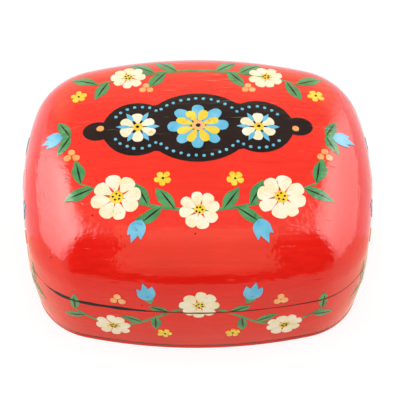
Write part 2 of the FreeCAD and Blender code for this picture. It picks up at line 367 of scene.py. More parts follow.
lamps = [
    softbox("left_softbox", bearing=-90, rise=14, size=0.9, radiance=2.8),
    softbox("right_softbox", bearing=85, rise=14, size=0.9, radiance=2.2),
    softbox("back_softbox", bearing=0, rise=22, size=0.9, radiance=1.2),
    softbox("front_softbox", bearing=180, rise=40, size=1.1, radiance=0.5),
    softbox("top_softbox", bearing=180, rise=87, size=1, radiance=2.45),
]
print("lamps:", [lamp.name for lamp in lamps])

# %% [markdown]
# ## The clear lacquer
# One clear coat lies over the red ground and the painted flowers alike, so every colour on the box shares
# one gloss. It was brushed on, lengthwise on the top, the front and the back, and across on the two ends,
# and the paper under it is never quite even, so the edges of the reflections waver and break into short
# streaks. All of that is drawn as heights in metres, which a Bump node turns into a normal. A stroke is
# noise that is stretched along the brush; the way that the surface faces chooses between the two
# directions.

# %% Brush marks and gloss
STROKE_WIDTH, STROKE_LENGTH, STROKE_DEPTH = 1.8 * mm, 22 * mm, 0.08 * mm
RIPPLE_SIZE, RIPPLE_DEPTH = 2.6 * mm, 0.1 * mm
WAVE_SIZE, WAVE_DEPTH = 24 * mm, 0.5 * mm
# Where the brush dragged, it left a few ridges, drawn twice as wide as real ones, so that they show
DRAG_WIDTH, DRAG_LENGTH, DRAG_DEPTH = 2.4 * mm, 15 * mm, 0.16 * mm
DRAG_START, DRAG_TOP = 0.63, 0.8
# The strokes turn where the normal's X passes from the first value to the second
TURN_FROM, TURN_TO = 0.3, 0.6
LACQUER_IOR, LACQUER_ROUGHNESS = 1.58, 0.08


def brush_noise(tree, coords, width, length):
    """Noise drawn out along the strokes of the brush."""
    strokes = []
    for cell in ((length, width, width), (width, length, width)):
        spot = add(tree, "VectorMath", {"operation": "DIVIDE"}, {0: coords.outputs["Object"], 1: cell})
        strokes.append(add(tree, "TexNoise", inputs={"Vector": spot, "Scale": 1, "Detail": 2}))
    facing = add(tree, "SeparateXYZ", inputs={0: coords.outputs["Normal"]})
    sideways = add(tree, "Math", {"operation": "ABSOLUTE"}, {0: facing.outputs["X"]})
    choice = add(tree, "MapRange", inputs={"Value": sideways, "From Min": TURN_FROM, "From Max": TURN_TO})
    picked = {0: choice, 2: strokes[0], 3: strokes[1]}
    return add(tree, "Mix", inputs=picked).outputs[0]


def clear_lacquer(tree, colour, roughness=LACQUER_ROUGHNESS):
    """The shader of every painted surface: a colour under brushed, glossy lacquer."""
    # Clear lacquer gives the eye sharp, bright reflections whose edges waver and streak
    coords = add(tree, "TexCoord")
    place = coords.outputs["Object"]
    ripples = add(tree, "TexNoise", inputs={"Vector": place, "Scale": 1 / RIPPLE_SIZE, "Detail": 1})
    waves = add(tree, "TexNoise", inputs={"Vector": place, "Scale": 1 / WAVE_SIZE, "Detail": 0})
    strokes = brush_noise(tree, coords, STROKE_WIDTH, STROKE_LENGTH)
    dragged = brush_noise(tree, coords, DRAG_WIDTH, DRAG_LENGTH)
    drags = add(tree, "MapRange", SOFT, {"Value": dragged, "From Min": DRAG_START, "From Max": DRAG_TOP})
    height = add(tree, "Math", TIMES, {0: strokes, 1: STROKE_DEPTH})
    for pattern, depth in ((drags, DRAG_DEPTH), (ripples, RIPPLE_DEPTH), (waves, WAVE_DEPTH)):
        raised = {0: pattern, 1: depth, 2: height}
        height = add(tree, "Math", {"operation": "MULTIPLY_ADD"}, raised)
    skin = add(tree, "Bump", inputs={"Height": height, "Distance": 1, "Strength": 1})
    gloss = {"Base Color": colour, "Roughness": roughness, "IOR": LACQUER_IOR, "Normal": skin}
    return add(tree, "BsdfPrincipled", inputs=gloss)


print("stroke width in mm:", STROKE_WIDTH / mm)

# %% [markdown]
# ## The red shells
# The ground colour is a strong orange red, a little cloudy, with fine streaks and a few specks of dust
# that dried into it. Where the lid meets the tub, the rims were painted black, and the line is uneven, as
# a brush leaves it. Where the wall stands on the bottom board, a thin dark line shows. The inside of the
# shells is black. All of this follows from a point's height and from the way that its surface faces, so
# one material does it.

# %% Red ground
CLOUD_SIZE = 26 * mm
TONE_FROM, TONE_TO = 0.1, 0.42
# Painted light: the upward-facing crown gets a lighter, more orange red than the walls, as the top lit more
# strongly. It changes where the normal's Z passes from the first value to the second
LIT_TOP_FROM, LIT_TOP_TO = 0.8, 0.97

# Red lacquer on papier-mâché: a strong, slightly cloudy red under a hard gloss
red_lacquer, tree, surface = new_material("red_lacquer_on_papier_mache")
coords = add(tree, "TexCoord")
place = coords.outputs["Object"]
clouds = add(tree, "TexNoise", inputs={"Vector": place, "Scale": 1 / CLOUD_SIZE, "Detail": 3})
streaks = brush_noise(tree, coords, STROKE_WIDTH, STROKE_LENGTH)
tone = add(tree, "Math", TIMES, {0: clouds, 1: streaks})
tone = add(tree, "MapRange", inputs={"Value": tone, "From Min": TONE_FROM, "From Max": TONE_TO})
walls = add(tree, "Mix", COLOURS, {0: tone, 6: linear("#e6190f"), 7: linear("#f42217")})
# Painted light: a lighter, more orange red for the crown, where more light falls on the top
crown = add(tree, "Mix", COLOURS, {0: tone, 6: linear("#f23022"), 7: linear("#fb3a2b")})
facing = add(tree, "SeparateXYZ", inputs={0: coords.outputs["Normal"]})
lit_top_share = add(
    tree, "MapRange", inputs={"Value": facing.outputs["Z"], "From Min": LIT_TOP_FROM, "From Max": LIT_TOP_TO}
)
ground = add(tree, "Mix", COLOURS, {0: lit_top_share, 6: walls, 7: crown})
print("red ground mixed, clouds", CLOUD_SIZE / mm, "mm")

# %% Specks of dust
# They are under a millimetre wide, and a few to the palm
SPECK_SPACING, SPECK_RADIUS, SPECKS_LEFT_OUT = 10 * mm, 0.42 * mm, 0.45
specks = add(tree, "TexVoronoi", inputs={"Vector": place, "Scale": 1 / SPECK_SPACING})
within = {0: specks.outputs["Distance"], 1: SPECK_RADIUS / SPECK_SPACING}
near = add(tree, "Math", {"operation": "LESS_THAN"}, within)
picked = add(tree, "SeparateColor", inputs={0: specks.outputs["Color"]})
some = add(tree, "Math", {"operation": "GREATER_THAN"}, {0: picked, 1: SPECKS_LEFT_OUT})
dust = add(tree, "Math", TIMES, {0: near, 1: some})
ground = add(tree, "Mix", COLOURS, {0: dust, 6: ground, 7: linear("#5c1a14")})
print("specks under", 2 * SPECK_RADIUS / mm, "mm wide")

# %% Painted rims
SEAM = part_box("lid_shell")[0].z
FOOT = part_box("base_shell")[0].z
# The lines are heavy on the left of the box. Each row is a stretch of X where they grow from light to heavy
HEAVY_EDGES = ((-20 * mm, -34 * mm), (-66 * mm, -57 * mm))
LIGHT_SHARE, LINE_NOISE = 0.3, 14 * mm
WEIGHT_LEAST, WEIGHT_MOST = 0.1, 0.55
SEAM_ROUGHNESS = 0.7
# Height of each line, its least and greatest half width, and its colour
RIM_LINES = (
    (SEAM, 0.2 * mm, 1.15 * mm, "#0c0808"),
    (FOOT + 0.3 * mm, 0.4 * mm, 0.55 * mm, "#43190f"),
)
axes = add(tree, "SeparateXYZ", inputs={0: place})
weight = add(tree, "TexNoise", inputs={"Vector": place, "Scale": 1 / LINE_NOISE, "Detail": 4})
for light_at, heavy_at in HEAVY_EDGES:
    grown = {"Value": axes.outputs["X"], "From Min": light_at, "From Max": heavy_at, "To Min": LIGHT_SHARE}
    share = add(tree, "MapRange", inputs=grown)
    weight = add(tree, "Math", TIMES, {0: weight, 1: share})
lines = []
for line_height, least, most, line_colour in RIM_LINES:
    away = add(tree, "Math", {"operation": "SUBTRACT"}, {0: axes.outputs["Z"], 1: line_height})
    away = add(tree, "Math", {"operation": "ABSOLUTE"}, {0: away})
    width = {"From Min": WEIGHT_LEAST, "From Max": WEIGHT_MOST, "To Min": least, "To Max": most}
    half = add(tree, "MapRange", inputs={"Value": weight, **width})
    line = add(tree, "Math", {"operation": "LESS_THAN"}, {0: away, 1: half})
    lines.append(line)
    ground = add(tree, "Mix", COLOURS, {0: line, 6: ground, 7: linear(line_colour)})
matt = {"Value": lines[0], "To Min": LACQUER_ROUGHNESS, "To Max": SEAM_ROUGHNESS}
dull = add(tree, "MapRange", inputs=matt)
print("seam at", round(SEAM / mm, 2), "mm, foot line at", round(FOOT / mm, 2), "mm")

# %% Black inside
# Surfaces that face a point in the middle of the box, at this height, are its black inside
MIDDLE = 33 * mm
outward = add(tree, "VectorMath", {"operation": "SUBTRACT"}, {0: place, 1: (0, 0, MIDDLE)})
faced = {0: coords.outputs["Normal"], 1: outward}
faces = add(tree, "VectorMath", {"operation": "DOT_PRODUCT"}, faced)
inside = add(tree, "Math", {"operation": "LESS_THAN"}, {0: faces.outputs["Value"], 1: 0})
ground = add(tree, "Mix", COLOURS, {0: inside, 6: ground, 7: linear("#191414")})
tree.links.new(clear_lacquer(tree, ground, dull).outputs[0], surface)
RED_NODES = ("lid_shell", "base_shell", "bottom_board")
for name in RED_NODES:
    give(nodes[name], red_lacquer)
print("red lacquer on", RED_NODES)

# %% [markdown]
# ## The collar
# The collar is a strip of card that stands inside the tub and holds the lid in place. It is lacquered
# black, like the inside, and the lid slides over it each time the box is closed, so its black is rubbed
# to brown in patches.

# %% Black lacquer on the collar
RUB_SIZE, RUB_FROM, RUB_TO = 9 * mm, 0.45, 0.75
# Black lacquer on card: near black and glossy, a little brown where it is rubbed
black_lacquer, tree, surface = new_material("black_lacquer_on_card")
place = add(tree, "TexCoord").outputs["Object"]
rubs = add(tree, "TexNoise", inputs={"Vector": place, "Scale": 1 / RUB_SIZE, "Detail": 5})
tone = add(tree, "MapRange", inputs={"Value": rubs, "From Min": RUB_FROM, "From Max": RUB_TO})
coat = add(tree, "Mix", COLOURS, {0: tone, 6: linear("#171212"), 7: linear("#2c2320")})
tree.links.new(clear_lacquer(tree, coat).outputs[0], surface)
give(nodes["collar"], black_lacquer)
print("collar painted")

# %% [markdown]
# ## Felt inside
# Such boxes are lined with dark felt: one piece glued into the dome of the lid, one strip round the wall
# of the tub, and a felt-covered pad on the floor. The CAD solids show where the felt lies, so each piece
# starts from a simple mesh inside its solid and is pressed against it with Shrinkwrap, as a hand presses
# felt into a shell. It then gets its thickness from Solidify.

# %% Helpers for pieces
def select_only(*things):
    """Selects these objects alone and makes the last one active."""
    bpy.ops.object.select_all(action="DESELECT")
    for thing in things:
        thing.select_set(True)
    bpy.context.view_layer.objects.active = things[-1]


def apply_modifier(piece, kind, settings):
    """Adds a modifier with its settings and applies it."""
    select_only(piece)
    modifier = piece.modifiers.new(kind.lower(), kind)
    for name, value in settings.items():
        setattr(modifier, name, value)
    bpy.ops.object.modifier_apply(modifier=modifier.name)


print("piece helpers ready")

# %% Felt in the dome
FELT, EDGE_GAP = 1.1 * mm, 0.2 * mm
# The felt starts as a dome of this share of its solid's size
DOME_START = 0.8
low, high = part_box("lid_lining")
lid_felt = added(
    bpy.ops.mesh.primitive_uv_sphere_add,
    "lid_felt",
    segments=96,
    ring_count=48,
    location=(0, 0, low.z),
    scale=(high.x * DOME_START, high.y * DOME_START, (high.z - low.z) * DOME_START),
)
bpy.ops.object.transform_apply(location=True, rotation=True, scale=True)
edited(bpy.ops.mesh.bisect, plane_co=(0, 0, low.z + EDGE_GAP), plane_no=(0, 0, 1), clear_inner=True)
apply_modifier(
    lid_felt,
    "SHRINKWRAP",
    {"target": nodes["lid_lining"], "wrap_method": "PROJECT", "use_negative_direction": False},
)
apply_modifier(lid_felt, "SOLIDIFY", {"thickness": FELT, "offset": 1})
print("dome felt faces:", len(lid_felt.data.polygons))

# %% Felt on the wall
# The strip starts as a ring of this share of its solid's size
RING_START = 0.9
low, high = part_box("wall_lining")
wall_felt = added(
    bpy.ops.mesh.primitive_cylinder_add,
    "wall_felt",
    vertices=160,
    radius=1,
    depth=high.z - low.z - 2 * EDGE_GAP,
    end_fill_type="NOTHING",
    location=(0, 0, (low.z + high.z) / 2),
)
wall_felt.scale = (high.x * RING_START, high.y * RING_START, 1)
bpy.ops.object.transform_apply(location=True, rotation=True, scale=True)
edited(bpy.ops.mesh.subdivide, number_cuts=5)
pressed = {"target": nodes["wall_lining"], "wrap_method": "NEAREST_SURFACEPOINT"}
apply_modifier(wall_felt, "SHRINKWRAP", pressed)
apply_modifier(wall_felt, "SOLIDIFY", {"thickness": FELT, "offset": 1})
print("wall felt faces:", len(wall_felt.data.polygons))

# %% [markdown]
# ## The pad
# The pad is felt over a little stuffing, so it is crowned. It starts from its solid's own mesh, a little
# smaller, and a short cloth simulation blows it up like a cushion, with no gravity. No point may move
# further than real felt would, and the underside stays flat, because it lies on the bottom board.

# %% Felt pad on the floor
PAD_START, PAD_VOXEL, PAD_SWELL = 0.985, 1.5 * mm, 1.1 * mm
PAD_PRESSURE, SWELL_FRAMES = 4, 20
MERGE = 0.001 * mm
low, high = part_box("floor_pad")
felt_pad = bpy.data.objects.new("felt_pad", nodes["floor_pad"].data.copy())
scene.collection.objects.link(felt_pad)
select_only(felt_pad)
edited(bpy.ops.mesh.remove_doubles, threshold=MERGE)
edited(bpy.ops.transform.resize, value=(PAD_START, PAD_START, 1), center_override=(0, 0, low.z))
apply_modifier(felt_pad, "REMESH", {"mode": "VOXEL", "voxel_size": PAD_VOXEL})
before = [vertex.co.copy() for vertex in felt_pad.data.vertices]
swelling = felt_pad.modifiers.new("swelling", "CLOTH")
swelling.settings.use_pressure = True
swelling.settings.uniform_pressure_force = PAD_PRESSURE
swelling.settings.effector_weights.gravity = 0
for number in range(1, SWELL_FRAMES + 1):
    scene.frame_set(number)
bpy.ops.object.modifier_apply(modifier=swelling.name)
for vertex, start in zip(felt_pad.data.vertices, before):
    move = vertex.co - start
    if start.z < low.z + PAD_VOXEL / 2:
        move = Vector((0, 0, 0))
    vertex.co = start + move.normalized() * min(move.length, PAD_SWELL)
scene.frame_set(1)
apply_modifier(felt_pad, "SMOOTH", {"factor": 0.5, "iterations": 4})
pad_top = max(vertex.co.z for vertex in felt_pad.data.vertices)
print("pad faces:", len(felt_pad.data.polygons), "top at", round(pad_top / mm, 2), "mm")

# %% [markdown]
# ## The felt's look
# Wool felt is pressed from loose fibres that lie in every direction, so it has no weave and no gloss. It
# looks a little paler at grazing angles, where the fibres' tips catch the light, and Sheen gives that.

# %% Felt material
# The fibres are drawn coarser than real wool, which is too fine to show
WOOL_FIBRE, WOOL_PATCH, NAP_DEPTH = 0.9 * mm, 14 * mm, 0.25 * mm
WOOL_FROM, WOOL_TO = 0.12, 0.42
SMOOTH_ANGLE = math.radians(40)
# Wool felt: matt, dark and a little hairy, with lighter fibres lying in every direction
felt, tree, surface = new_material("dark_wool_felt")
place = add(tree, "TexCoord").outputs["Object"]
curls = {"Vector": place, "Scale": 1 / WOOL_FIBRE, "Detail": 4, "Distortion": 1.5}
fibres = add(tree, "TexNoise", inputs=curls)
patches = add(tree, "TexNoise", inputs={"Vector": place, "Scale": 1 / WOOL_PATCH, "Detail": 2})
tone = add(tree, "Math", TIMES, {0: fibres, 1: patches})
tone = add(tree, "MapRange", inputs={"Value": tone, "From Min": WOOL_FROM, "From Max": WOOL_TO})
wool = add(tree, "Mix", COLOURS, {0: tone, 6: linear("#1b1716"), 7: linear("#453c39")})
nap = add(tree, "Bump", inputs={"Height": fibres, "Distance": NAP_DEPTH, "Strength": 1})
cloth = add(
    tree,
    "BsdfPrincipled",
    inputs={
        "Base Color": wool,
        "Roughness": 0.95,
        "Sheen Weight": 0.25,
        "Sheen Roughness": 0.5,
        "Normal": nap,
    },
)
tree.links.new(cloth.outputs[0], surface)
for piece, node, body in (
    (lid_felt, "lid_lining", "lid"),
    (wall_felt, "wall_lining", "base"),
    (felt_pad, "floor_pad", "base"),
):
    give(piece, felt)
    select_only(piece)
    bpy.ops.object.shade_smooth_by_angle(angle=SMOOTH_ANGLE)
    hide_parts(node)
    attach(piece, body)
print("felt laid")

# %% [markdown]
# ## Touches of the brush
# A painter builds every flower from a few touches of the brush: a round dot, a petal that swells towards
# its tip, a pointed leaf and a long stroke. Each touch is modelled flat and two units long, as a grid
# whose columns are drawn in to the touch's width. A grid, not a bare outline, is needed because the paint
# has to bend over the lid later on. No hand makes the same touch twice, so each is made in a few
# versions, with a slow wobble along its edges.

# %% A few meshes for each touch
VERSIONS = 3
# How fast the wobble's noise runs along a touch, how far apart the versions lie in it, and its two rows
SWELL_RATE, SWAY_RATE, VERSION_STEP = 2, 1.5, 7
SWELL_ROW, SWAY_ROW = 0.5, 3.5
TIP_MERGE = 0.0001
WIDTH_PROBES = 100


def touch(name, width_at, columns, rows, wobble, version=0):
    """A flat brush mark along X from -1 to 1, each column of its grid drawn in to width_at(x)."""
    grid = {"x_subdivisions": columns, "y_subdivisions": rows, "size": 2}
    mark = added(bpy.ops.mesh.primitive_grid_add, name, **grid)
    column_of = [round((vertex.co.x + 1) * columns / 2) for vertex in mark.data.vertices]
    widest = max(width_at(2 * probe / WIDTH_PROBES - 1) for probe in range(WIDTH_PROBES + 1))
    bpy.ops.object.mode_set(mode="EDIT")
    bpy.ops.mesh.select_mode(type="VERT")
    for column in range(columns + 1):
        before = 2 * column / columns - 1
        after = math.sin(before * math.pi / 2)
        swell = 1 + wobble * noise.noise((SWELL_RATE * after, VERSION_STEP * version, SWELL_ROW))
        sway = wobble * noise.noise((SWAY_RATE * after, VERSION_STEP * version, SWAY_ROW))
        bpy.ops.mesh.select_all(action="DESELECT")
        bpy.ops.object.mode_set(mode="OBJECT")
        for vertex, number in zip(mark.data.vertices, column_of):
            vertex.select = number == column
        bpy.ops.object.mode_set(mode="EDIT")
        drawn_in = swell * width_at(after) / widest
        bpy.ops.transform.resize(value=(1, drawn_in, 1), center_override=(before, 0, 0))
        bpy.ops.transform.translate(value=(after - before, sway, 0))
    bpy.ops.mesh.select_all(action="SELECT")
    bpy.ops.mesh.remove_doubles(threshold=TIP_MERGE)
    bpy.ops.object.mode_set(mode="OBJECT")
    for owner in mark.users_collection:
        owner.objects.unlink(mark)
    return mark


def touches(name, width_at, columns=12, rows=4, wobble=0.16):
    """A few versions of one touch."""
    return [touch(name, width_at, columns, rows, wobble, version) for version in range(VERSIONS)]


def disc_width(x):
    """A circle's half width."""
    return math.sqrt(max(0, 1 - x * x))


dot = touches("dot", disc_width, columns=8, rows=3, wobble=0.1)
petal = touches("petal", lambda x: disc_width(x) * (0.62 + 0.38 * x))
blade = touches("blade", lambda x: max(0, 1 - x * x) * (1 - 0.2 * x))
stroke = touches("stroke", lambda x: max(0, 1 - x ** 6) ** 0.5, columns=60, rows=2, wobble=0.25)
for marks in (dot, petal, blade, stroke):
    print(marks[0].name, "versions:", len(marks), "vertices:", len(marks[0].data.vertices))

# %% [markdown]
# ## Flowers, leaves and stems
# The pattern is laid out flat first, on five sides: the top and the four walls. Each mark is a copy of a
# touch, with its own mesh, scaled and turned into place, and it is kept in a list for its side and
# colour. A seeded random source moves each one a little. A long stem is a stroke that a Curve modifier
# bends along a smooth path.

# %% Marks on a side
hand = random.Random(11)
drawn = {}
# How much the hand varies a mark: shares of its length and width, degrees of turn, and millimetres of place
LENGTH_PLAY, WIDTH_PLAY, TURN_PLAY, PLACE_PLAY = 0.05, 0.06, 3, 0.2


def mark_on(side, colour, shapes, x, y, length, width, turn=0, rooted=True):
    """Copies a touch to a side, in millimetres and degrees. A rooted one grows from x, y along turn."""
    shape = hand.choice(shapes)
    length *= hand.uniform(1 - LENGTH_PLAY, 1 + LENGTH_PLAY)
    width *= hand.uniform(1 - WIDTH_PLAY, 1 + WIDTH_PLAY)
    spin = math.radians(turn + hand.uniform(-TURN_PLAY, TURN_PLAY))
    shift = [hand.uniform(-PLACE_PLAY, PLACE_PLAY) for axis in "xy"]
    middle = length / 2 if rooted else 0
    mesh = shape.data.copy()
    mesh.transform(
        Matrix.Scale(mm, 4)
        @ Matrix.Translation((x + shift[0], y + shift[1], 0))
        @ Matrix.Rotation(spin, 4, "Z")
        @ Matrix.Translation((middle, 0, 0))
        @ Matrix.Diagonal((length / 2, width / 2, 1, 1))
    )
    copy = bpy.data.objects.new(shape.name, mesh)
    scene.collection.objects.link(copy)
    drawn.setdefault((side, colour), []).append(copy)


def mark_count():
    """How many marks there are by now."""
    return sum(len(marks) for marks in drawn.values())


def spot_on(side, colour, x, y, width):
    """A round dot of the brush."""
    mark_on(side, colour, dot, x, y, width, width, hand.uniform(0, 360), rooted=False)


def out_from(x, y, reach, turn):
    """The point at a reach from x, y, in the direction of turn."""
    angle = math.radians(turn)
    return x + reach * math.cos(angle), y + reach * math.sin(angle)


def ring(side, colour, shapes, x, y, count, root, length, width, first=0):
    """A ring of touches that point away from a middle."""
    for number in range(count):
        turn = first + number * 360 / count
        mark_on(side, colour, shapes, *out_from(x, y, root, turn), length, width, turn)


def stem(side, points, width):
    """A long green stroke along a smooth curve through points in millimetres."""
    curve = bpy.data.curves.new("stem_path", "CURVE")
    curve.dimensions = "2D"
    curve.resolution_u = 24
    spline = curve.splines.new("BEZIER")
    spline.bezier_points.add(len(points) - 1)
    for knot, (x, y) in zip(spline.bezier_points, points):
        knot.co = (x * mm, y * mm, 0)
        knot.handle_left_type = knot.handle_right_type = "AUTO"
    path = bpy.data.objects.new("stem_path", curve)
    scene.collection.objects.link(path)
    bpy.context.view_layer.update()
    half = spline.calc_length() / 2
    mesh = hand.choice(stroke).data.copy()
    mesh.transform(Matrix.Translation((half, 0, 0)) @ Matrix.Diagonal((half, width / 2 * mm, 1, 1)))
    copy = bpy.data.objects.new("stem", mesh)
    scene.collection.objects.link(copy)
    apply_modifier(copy, "CURVE", {"object": path, "deform_axis": "POS_X"})
    bpy.data.objects.remove(path)
    drawn.setdefault((side, "green"), []).append(copy)


print("marks ready, moved by up to", PLACE_PLAY, "mm")

# %% Flowers and leaves
# Shares of a flower's size: where a petal starts, its length and width, the eye, and the ring of seeds
FLOWER_ROOT, FLOWER_PETAL, FLOWER_WIDTH, FLOWER_EYE, SEED_RING = 0.1, 0.4, 0.29, 0.27, 0.075
FLOWER_PETALS, SEEDS, SEED = 8, 5, 0.9
BLOSSOM_PETAL, BLOSSOM_WIDTH, BLOSSOM_PETALS, BLOSSOM_EYE = 0.52, 0.36, 5, 1
LEAF_WIDTH, VEIN_LENGTH, VEIN = 0.42, 0.86, 0.75
# Millimetres and degrees of a bellflower and of a berry
CUP_BACK, CUP_LENGTH, CUP_WIDTH = 3, 5, 4.2
BELL_SPREAD, BELL_SIDE, BELL_MIDDLE, BELL_WIDTH = 24, 8, 9.5, 4
BERRY_RING, BERRY = 1.9, 3


def flower(side, x, y, size):
    """An open flower: a ring of cream petals round a yellow eye with a few dark seeds."""
    first = hand.uniform(0, 360)
    ring(
        side, "cream", petal, x, y, FLOWER_PETALS,
        size * FLOWER_ROOT, size * FLOWER_PETAL, size * FLOWER_WIDTH, first,
    )
    spot_on(side, "yellow", x, y, size * FLOWER_EYE)
    for number in range(SEEDS):
        turn = number * 360 / SEEDS + first
        spot_on(side, "seed", *out_from(x, y, size * SEED_RING, turn), SEED)


def blossom(side, x, y, size):
    """A small yellow blossom."""
    first = hand.uniform(0, 360 / BLOSSOM_PETALS)
    length, width = size * BLOSSOM_PETAL, size * BLOSSOM_WIDTH
    ring(side, "yellow", petal, x, y, BLOSSOM_PETALS, 0, length, width, first)
    spot_on(side, "seed", x, y, BLOSSOM_EYE)


def leaf(side, x, y, length, turn):
    """A pointed leaf with a dark midrib."""
    mark_on(side, "green", blade, x, y, length, length * LEAF_WIDTH, turn)
    mark_on(side, "vein", blade, x, y, length * VEIN_LENGTH, VEIN, turn)


def bud(side, x, y, turn):
    """A bellflower: three pointed blue petals in a green cup."""
    mark_on(side, "green", petal, *out_from(x, y, -CUP_BACK, turn), CUP_LENGTH, CUP_WIDTH, turn)
    for spread, length in ((-BELL_SPREAD, BELL_SIDE), (BELL_SPREAD, BELL_SIDE), (0, BELL_MIDDLE)):
        mark_on(side, "blue", blade, x, y, length, BELL_WIDTH, turn + spread)


def berries(side, x, y):
    """Three round berries."""
    for number in range(3):
        spot_on(side, "peach", *out_from(x, y, BERRY_RING, 90 + number * 120), BERRY)


print("flowers ready")

# %% [markdown]
# ## The pattern on the lid
# A dark panel of five lobes holds a rosette and two flowers inside a row of dots. Garlands of leaves and
# open flowers hang in front of it and behind it, with bellflowers, berries and small blossoms between.
# The panel's outline is the largest of five ellipses at each place along its length, so one touch is
# enough for it. Sizes and places are in millimetres, and angles in degrees.

# %% Lobed panel
PANEL_Y, PANEL_HALF = 6, 47
# Middle, half length and half width of each lobe, the widest first
LOBES = ((0, 22, 19), (25, 14, 14.5), (-25, 14, 14.5), (41, 6, 5), (-41, 6, 5))
DOT_INSET, DOT_GAP, DOTS_END, DOT_SIZE = 2.5, 3.3, 35.5, 1.4
WALK_STEP = 0.02


def panel_width(x, inset=0):
    """The panel's half width in millimetres, x millimetres from its middle."""
    widths = [0]
    for middle, length, width in LOBES:
        across = 1 - ((x - middle) / (length - inset)) ** 2
        widths.append((width - inset) * math.sqrt(max(0, across)))
    return max(widths)


panel = [touch("panel", lambda x: panel_width(x * PANEL_HALF), columns=72, rows=26, wobble=0.02)]
mark_on("top", "black", panel, 0, PANEL_Y, 2 * PANEL_HALF, 2 * LOBES[0][2], rooted=False)
walk_end = PANEL_HALF - DOT_INSET
walk = [step * WALK_STEP - walk_end for step in range(round(2 * walk_end / WALK_STEP) + 1)]
gone = DOT_GAP / 2
for before, after in zip(walk, walk[1:]):
    if abs(after) > DOTS_END:
        continue
    y = panel_width(after, DOT_INSET)
    gone += math.hypot(after - before, y - panel_width(before, DOT_INSET))
    if gone >= DOT_GAP:
        gone -= DOT_GAP
        for edge in (-1, 1):
            spot_on("top", "blue", after, PANEL_Y + edge * y, DOT_SIZE)
print("marks so far:", mark_count())

# %% Flowers on the panel
SIDE_FLOWER_X, END_DOT_X = 25.5, 41.5
ring("top", "blue", petal, 0, PANEL_Y, count=8, root=3, length=10, width=5.2)
ring("top", "yellow", petal, 0, PANEL_Y, count=8, root=2, length=7.4, width=4, first=22.5)
spot_on("top", "peach", 0, PANEL_Y, width=5.6)
spot_on("top", "seed", 0, PANEL_Y, width=2.2)
for side_sign in (-1, 1):
    x = side_sign * SIDE_FLOWER_X
    ring("top", "cream", petal, x, PANEL_Y, count=6, root=1.4, length=6.6, width=4.8, first=30)
    ring("top", "blue", blade, x, PANEL_Y, count=6, root=3.6, length=5.6, width=2)
    spot_on("top", "yellow", x, PANEL_Y, width=4.2)
    spot_on("top", "seed", x, PANEL_Y, width=1.5)
    spot_on("top", "peach", side_sign * END_DOT_X, PANEL_Y, width=3)
print("marks on the panel:", mark_count())

# %% Garlands
# Place of the middle, rise at the ends, half length and size of the flowers, in front and behind
GARLANDS = ((-37, 15, 50, 21), (42, -8, 44, 15))
GARLAND_KNOTS, GARLAND_STEM, FLOWER_SHARE = 4, 1.4, 0.68
# Share of the half length where each leaf grows, and the side it grows to
GARLAND_LEAVES = ((0.2, 1), (0.31, -1), (0.42, 1), (0.88, -1), (0.98, 1))
GARLAND_LEAF, GARLAND_LEAF_ANGLE = 13, 48
for sag, lift, reach, size in GARLANDS:
    shares = [step / GARLAND_KNOTS for step in range(-GARLAND_KNOTS, GARLAND_KNOTS + 1)]
    stem("top", [(share * reach, sag + lift * share ** 2) for share in shares], GARLAND_STEM)
    for side_sign in (-1, 1):
        for share, out in GARLAND_LEAVES:
            turn = math.degrees(math.atan2(2 * lift * share, reach)) + GARLAND_LEAF_ANGLE * out
            turn = turn if side_sign > 0 else 180 - turn
            leaf("top", side_sign * share * reach, sag + lift * share ** 2, GARLAND_LEAF, turn)
        flower("top", side_sign * FLOWER_SHARE * reach, sag + lift * FLOWER_SHARE ** 2, size)
print("marks with garlands:", mark_count())

# %% Small flowers between
# A bellflower with two leaves at each end, and another low in front that leans outwards
END_BUD_X, END_LEAF_X, END_Y, END_LEAF, END_SPREAD = 57, 54, 3, 11, 62
LOW_BUD_X, LOW_BUD_Y, LOW_BUD_LEAN = 24, -41, 25
LID_BLOSSOMS = ((15, -22), (51, 27))
LID_BERRIES = ((53, -8), (22, 30))
flower("top", 0, GARLANDS[0][0], size=17)
for side_sign in (-1, 1):
    ahead = 0 if side_sign > 0 else 180
    bud("top", side_sign * END_BUD_X, END_Y, ahead)
    for spread in (-END_SPREAD, END_SPREAD):
        leaf("top", side_sign * END_LEAF_X, END_Y, END_LEAF, ahead + spread)
    for x, y in LID_BLOSSOMS:
        blossom("top", side_sign * x, y, size=7)
    for x, y in LID_BERRIES:
        berries("top", side_sign * x, y)
    bud("top", side_sign * LOW_BUD_X, LOW_BUD_Y, -90 + LOW_BUD_LEAN * side_sign)
print("marks on the lid:", mark_count())

# %% [markdown]
# ## The pattern on the walls
# A vine waves round the box, over the seam and back, with a flower in each bend. It is the same on all
# four walls, apart from its length and the play of the hand, and it is painted with the lid closed, so it
# runs on from lid to tub.

# %% Vines
# Half length of the vine on each wall
VINES = {"front": 54, "back": 54, "left": 42, "right": 42}
VINE_MIDDLE, VINE_SWING, VINE_STEM, VINE_KNOTS = 26, 8.5, 1.3, 8
# Waves on each side of the middle
VINE_WAVES = 0.75
# Share of a wave where each leaf grows, and the side it grows to
VINE_LEAVES = ((0.17, 1), (0.25, -1), (0.33, 1), (0.66, -1), (0.72, 1))
VINE_LEAF, VINE_LEAF_ANGLE, FLOWER_LIFT = 10, 52, 1
# Share of a wave and height of what grows beside the vine, and the lean of its bellflowers
BUD_SHARE, BUD_HEIGHT, BUD_LEAN = 0.29, 38, 15
BLOSSOM_SHARE, BLOSSOM_HEIGHT = 0.2, 14
BERRY_SHARE, BERRY_HEIGHT = 0.47, 36


def vine_height(share):
    """The vine's height on the wall, a share of a wave away from the middle."""
    return VINE_MIDDLE + VINE_SWING * math.cos(2 * math.pi * share)


